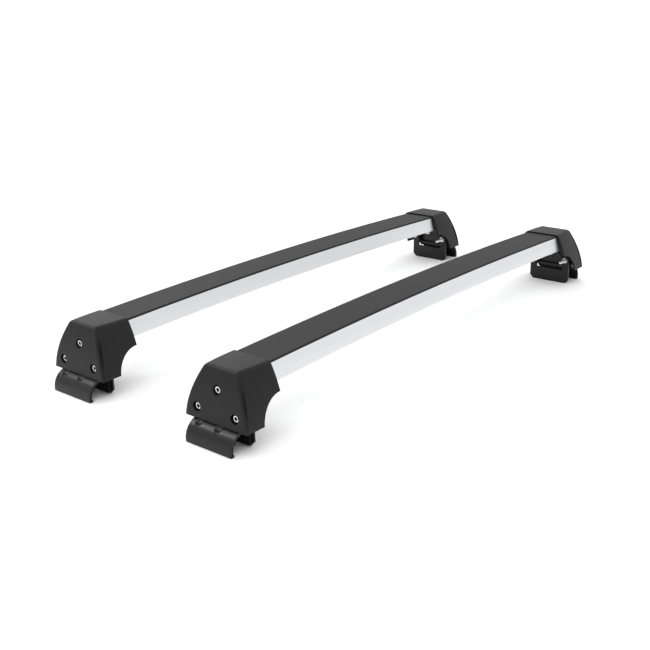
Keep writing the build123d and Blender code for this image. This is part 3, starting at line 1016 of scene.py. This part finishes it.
@dataclass
class ClampFoot:
    """One foot: cover, bracket, clamp jaws and their fasteners."""

    bar: Bar
    side: Side
    head_radius: float = 5.0 * MM
    clamp_head: float = 6.0 * MM
    clamp_head_rise: float = 2.4 * MM
    cover_head: float = 5.0 * MM
    clamp_thread: float = 30.0 * MM
    cover_thread: float = 11.0 * MM
    bar_thread: float = 9.0 * MM
    hook_radius: float = 26.4 * MM
    hook_centre: float = 5.5 * MM
    dent_places: tuple[float, float] = (-28.0 * MM, 8.0 * MM)
    dent_radius: float = 11.0 * MM
    dent_depth: float = 2.3 * MM
    dent_angle: float = 60.0
    dent_steps: tuple[int, int] = (64, 40)
    web_thick: float = 4.5 * MM
    base_length: float = 6.0 * MM
    base_half: float = 27.2 * MM
    base_thick: float = 4.3 * MM
    lug_top: float = 7.5 * MM
    sharp_angle: float = 30.0

    @property
    def name(self) -> str:
        """Start of the foot's node names."""
        return f"{self.bar.value}_{self.side.word}"

    def dress(self, finishes: Finishes) -> None:
        """Give the foot's own solids their finishes.

        Args:
            finishes: Material slot to material.
        """
        for piece, finish in (
            ("inner_jaw", POWDER_COAT),
            ("outer_jaw_liner", MOULDED_RUBBER),
            ("inner_jaw_pad", MOULDED_RUBBER),
            ("clamp_washers", ZINC_PLATE),
        ):
            dress_node(f"{self.name}_{piece}", finishes[finish.slot])

    def outward(self) -> Matrix:
        """Turn that points a screw's head to the foot's outer face."""
        return Matrix.Identity(4) if self.side is Side.RIGHT else Matrix.Rotation(pi, 4, "Z")

    def build(self, cover: Mesh, nodes: ScrewNodes, finishes: Finishes) -> None:
        """Make the foot's detailed pieces, each riding on its body.

        Args:
            cover: Cover of a right foot on the X axis.
            nodes: Tree that makes threads and knurls.
            finishes: Material slot to material.
        """
        self.build_cover(cover, finishes[MOULDED_NYLON.slot])
        self.build_outer_jaw(finishes[POWDER_COAT.slot])
        self.build_bracket(finishes[POWDER_COAT.slot])
        self.build_rail_pad(finishes[MOULDED_RUBBER.slot])
        zinc = finishes[ZINC_PLATE.slot]
        for bolt in ("front_clamp_bolt", "rear_clamp_bolt"):
            sizes = self.clamp_head, self.clamp_head_rise, self.clamp_thread
            self.build_face_screw(bolt, f"{self.name}_{bolt}_body", *sizes, nodes, zinc)
        self.build_face_screw("cover_screw", "rack", self.cover_head, 0.0, self.cover_thread, nodes, zinc)
        self.build_bar_screws(nodes, zinc)
        self.build_nuts(zinc)

    def build_cover(self, form: Mesh, finish: Material) -> Object:
        """Set the moulded cover over the foot.

        Args:
            form: Cover of a right foot on the X axis.
            finish: Material of the cover.

        Returns:
            The cover, riding on the rack.
        """
        node = f"{self.name}_foot_cover"
        low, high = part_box(node)
        mesh = form.copy()
        mesh.transform(Matrix.Translation((0, (low.y + high.y) / 2, 0)) @ self.outward())
        mesh.materials.clear()
        mesh.materials.append(finish)
        return replace_node(link_mesh(f"{node}_moulded", mesh), node, "rack")

    def build_outer_jaw(self, finish: Material) -> Object:
        """Press the two broad dents into the outer jaw's top bend.

        Args:
            finish: Material of the jaw.

        Returns:
            The jaw, riding on the rack.
        """
        node = f"{self.name}_outer_jaw"
        low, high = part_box(node)
        outer = max(abs(low.x), abs(high.x))
        axis = Vector((outer - self.hook_radius, 0, self.hook_centre))
        tilt = radians(self.dent_angle)
        lead = Vector((cos(tilt), 0, sin(tilt))) * (self.hook_radius + self.dent_radius - self.dent_depth)
        turned = Matrix.Translation((0, (low.y + high.y) / 2, 0)) @ self.outward()
        around, along = self.dent_steps
        shape = bmesh.new()
        for y in self.dent_places:
            place = turned @ Matrix.Translation(axis + lead + Vector((0, y, 0)))
            bmesh.ops.create_uvsphere(
                shape, u_segments=around, v_segments=along, radius=self.dent_radius, matrix=place
            )
        mesh = combine(closed_copy(node), [("DIFFERENCE", finish_shape(shape, f"{node}_dents"))])
        return self.set_piece(mesh, node, "dented", finish)

    def build_bracket(self, finish: Material) -> Object:
        """Run the bracket's base and lugs out to the inner jaw's ears.

        Args:
            finish: Material of the bracket.

        Returns:
            The bracket, riding on the rack.
        """
        node = f"{self.name}_foot_bracket"
        low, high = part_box(node)
        middle = (low.y + high.y) / 2
        outer = max(abs(low.x), abs(high.x))
        web = outer - self.web_thick
        base_top = low.z + self.base_thick
        base = (web - self.base_length, self.base_half, low.z, base_top)
        lugs = (web, (high.y - low.y) / 2, base_top, low.z + self.lug_top)
        steps = []
        for inner, half, z_low, z_high in (base, lugs):
            x_low, x_high = sorted(self.side.value * x for x in (inner, outer))
            corners = Vector((x_low, middle - half, z_low)), Vector((x_high, middle + half, z_high))
            steps.append(("UNION", block_between(*corners, f"{node}_wing")))
        mesh = combine(closed_copy(node), steps)
        return self.set_piece(mesh, node, "widened", finish)

    def build_rail_pad(self, finish: Material) -> Object:
        """Make the rail pad as wide as the bracket's base.

        Args:
            finish: Material of the pad.

        Returns:
            The pad, riding on the rack.
        """
        node = f"{self.name}_rail_pad"
        low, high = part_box(node)
        middle = (low.y + high.y) / 2
        low.y, high.y = middle - self.base_half, middle + self.base_half
        block = block_between(low, high, f"{node}_block")
        mesh = block.data
        bpy.data.objects.remove(block)
        return self.set_piece(mesh, node, "widened", finish)

    def set_piece(self, mesh: Mesh, node: str, word: str, finish: Material) -> Object:
        """Give a finished mesh its material and let it stand for its CAD node on the rack.

        Args:
            mesh: The finished mesh, in its place.
            node: CAD node that it stands for.
            word: End of the piece's name.
            finish: Its material.

        Returns:
            The piece, riding on the rack.
        """
        mesh.materials.clear()
        mesh.materials.append(finish)
        smooth_by_angle(mesh, self.sharp_angle)
        return replace_node(link_mesh(f"{node}_{word}", mesh), node, "rack")

    def build_face_screw(
        self, word: str, body: str, head: float, rise: float, thread: float,
        nodes: ScrewNodes, finish: Material,
    ) -> Object:
        """Make a screw along X whose head shows in the outer face.

        Args:
            word: End of the screw's node name.
            body: Body that carries it.
            head: Height of the CAD screw's head.
            rise: How much taller the head is made.
            thread: Length of the thread.
            nodes: Tree that makes threads and knurls.
            finish: Material of the screw.

        Returns:
            The screw, riding on its body.
        """
        node = f"{self.name}_{word}"
        low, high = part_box(node)
        seat = (low + high) / 2
        outer = high.x if self.side is Side.RIGHT else low.x
        seat.x = outer - self.side.value * head
        screw = SocketScrew(high.x - low.x - head, head + rise, thread)
        mesh = screw.mesh(f"{node}_mesh", nodes, finish)
        mesh.transform(Matrix.Translation(seat) @ self.outward())
        return replace_node(link_mesh(f"{node}_threaded", mesh), node, body)

    def build_bar_screws(self, nodes: ScrewNodes, finish: Material) -> Object:
        """Make the pair of screws that come up through the flange.

        Args:
            nodes: Tree that makes threads and knurls.
            finish: Material of the screws.

        Returns:
            The pair as one piece, riding on the rack.
        """
        node = f"{self.name}_bar_screws"
        low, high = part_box(node)
        centre = (low + high) / 2
        length = high.z - low.z - self.clamp_head
        pair = bmesh.new()
        for y in (low.y + self.head_radius, high.y - self.head_radius):
            mesh = SocketScrew(length, self.clamp_head, self.bar_thread).mesh("bar_screw", nodes, finish)
            place = Matrix.Translation((centre.x, y, low.z + self.clamp_head))
            mesh.transform(place @ Matrix.Rotation(radians(90), 4, "Y"))
            pair.from_mesh(mesh)
            bpy.data.meshes.remove(mesh)
        # The second slot is the painted shade inside the sockets
        joined = plain_mesh(pair, f"{node}_mesh", finish, bpy.data.materials[SOCKET_PAINTED_SHADE.name])
        return replace_node(link_mesh(f"{node}_threaded", joined), node, "rack")

    def build_nuts(self, finish: Material) -> Object:
        """Make the pair of nuts on the inner jaw.

        Args:
            finish: Material of the nuts.

        Returns:
            The pair as one piece, riding on the jaw.
        """
        node = f"{self.name}_clamp_nuts"
        low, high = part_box(node)
        middle = (low + high) / 2
        centres = []
        for end in ("front", "rear"):
            first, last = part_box(f"{self.name}_{end}_clamp_bolt")
            centres.append(Vector((middle.x, (first.y + last.y) / 2, middle.z)))
        mesh = HexNut().mesh(centres, f"{node}_mesh", finish)
        return replace_node(link_mesh(f"{node}_chamfered", mesh), node, f"{self.name}_clamp_jaw")


@dataclass(frozen=True)
class Softbox:
    """Square area light that points at the set: place and side in metres, power in watts."""

    name: str
    place: tuple[float, float, float]
    side: float
    watts: float

    def build(self) -> None:
        """Hang the light."""
        lamp = bpy.data.lights.new(self.name, "AREA")
        lamp.size = self.side
        lamp.energy = self.watts
        light = bpy.data.objects.new(self.name, lamp)
        light.location = self.place
        light.rotation_euler = (-Vector(self.place)).to_track_quat("-Z", "Y").to_euler()
        bpy.context.scene.collection.objects.link(light)


@dataclass
class Studio:
    """White floor, soft light and the camera of the photograph."""

    floor_side: float = 30.0
    floor_colour: str = "#FCFCFC"
    floor_roughness: float = 0.95
    sky_strength: float = 1.06
    softboxes: tuple[Softbox, ...] = (
        Softbox("key_softbox", (-1.6, -1.0, 3.2), side=2.6, watts=30.0),
        Softbox("back_softbox", (1.2, 3.0, 2.6), side=2.4, watts=22.0),
        Softbox("rim_softbox", (-1.1, 1.7, 1.9), side=0.7, watts=13.0),
    )
    sensor_mm: float = 36.0
    clip_end: float = 100.0
    frame_pixels: float = 650.0
    focal_pixels: float = 964.99
    axis_pixel: tuple[float, float] = (320.36, 325.27)
    camera_mm: tuple[float, float, float] = (-1288.5, -993.92, 574.03)
    azimuth: float = -50.178
    elevation: float = 19.357
    roll: float = -1.031

    def build(self) -> None:
        """Make the floor, the world, the lights and the camera."""
        self.build_floor()
        self.build_world()
        for softbox in self.softboxes:
            softbox.build()
        self.build_camera()

    def build_floor(self) -> None:
        """Lay the plain pale floor."""
        half = self.floor_side / 2
        mesh = bpy.data.meshes.new("studio_floor")
        corners = [(-half, -half, 0), (half, -half, 0), (half, half, 0), (-half, half, 0)]
        mesh.from_pydata(corners, [], [(0, 1, 2, 3)])
        material = bpy.data.materials.new("studio_paper")
        material.use_nodes = True
        paper = material.node_tree.nodes["Principled BSDF"]
        paper.inputs["Base Color"].default_value = linear(self.floor_colour)
        paper.inputs["Roughness"].default_value = self.floor_roughness
        paper.inputs["Specular IOR Level"].default_value = 0.0
        mesh.materials.append(material)
        link_mesh("studio_floor", mesh)

    def build_world(self) -> None:
        """Surround the set with even white light."""
        world = bpy.data.worlds.new("white_cove")
        bpy.context.scene.world = world
        world.use_nodes = True
        sky = world.node_tree.nodes["Background"]
        sky.inputs["Color"].default_value = (1.0, 1.0, 1.0, 1.0)
        sky.inputs["Strength"].default_value = self.sky_strength
        bpy.context.scene.view_settings.view_transform = "Standard"

    def build_camera(self) -> None:
        """Stand the camera where the photograph was taken from."""
        turn, lift, lean = (radians(a) for a in (self.azimuth, self.elevation, self.roll))
        back = Vector((sin(turn) * cos(lift), -cos(turn) * cos(lift), sin(lift)))
        right = Vector((0, 0, 1)).cross(back).normalized()
        up = back.cross(right)
        leaned_right = right * cos(lean) + up * sin(lean)
        leaned_up = up * cos(lean) - right * sin(lean)
        lens = bpy.data.cameras.new("photo_camera")
        lens.sensor_width = self.sensor_mm
        lens.lens = self.focal_pixels * self.sensor_mm / self.frame_pixels
        centre = self.frame_pixels / 2
        lens.shift_x = (centre - self.axis_pixel[0]) / self.frame_pixels
        lens.shift_y = (self.axis_pixel[1] - centre) / self.frame_pixels
        lens.clip_end = self.clip_end
        camera = bpy.data.objects.new("photo_camera", lens)
        axes = Matrix((leaned_right, leaned_up, back)).transposed().to_4x4()
        camera.matrix_world = Matrix.Translation(Vector(self.camera_mm) * MM) @ axes
        bpy.context.scene.collection.objects.link(camera)
        bpy.context.scene.camera = camera


def main() -> None:
    """Dress the bars and the feet, and set up the studio."""
    logging.basicConfig(level=logging.INFO, format="%(name)s: %(message)s")
    finishes = {finish.slot: finish.build() for finish in FINISHES}
    nodes = ScrewNodes()
    cover = CoverForm().build()
    LOG.info("cover has %d faces", len(cover.polygons))
    for bar in Bar:
        Crossbar(bar).dress(finishes)
        for side in Side:
            foot = ClampFoot(bar, side)
            foot.dress(finishes)
            foot.build(cover, nodes, finishes)
    Studio().build()


if __name__ == "__main__":
    main()
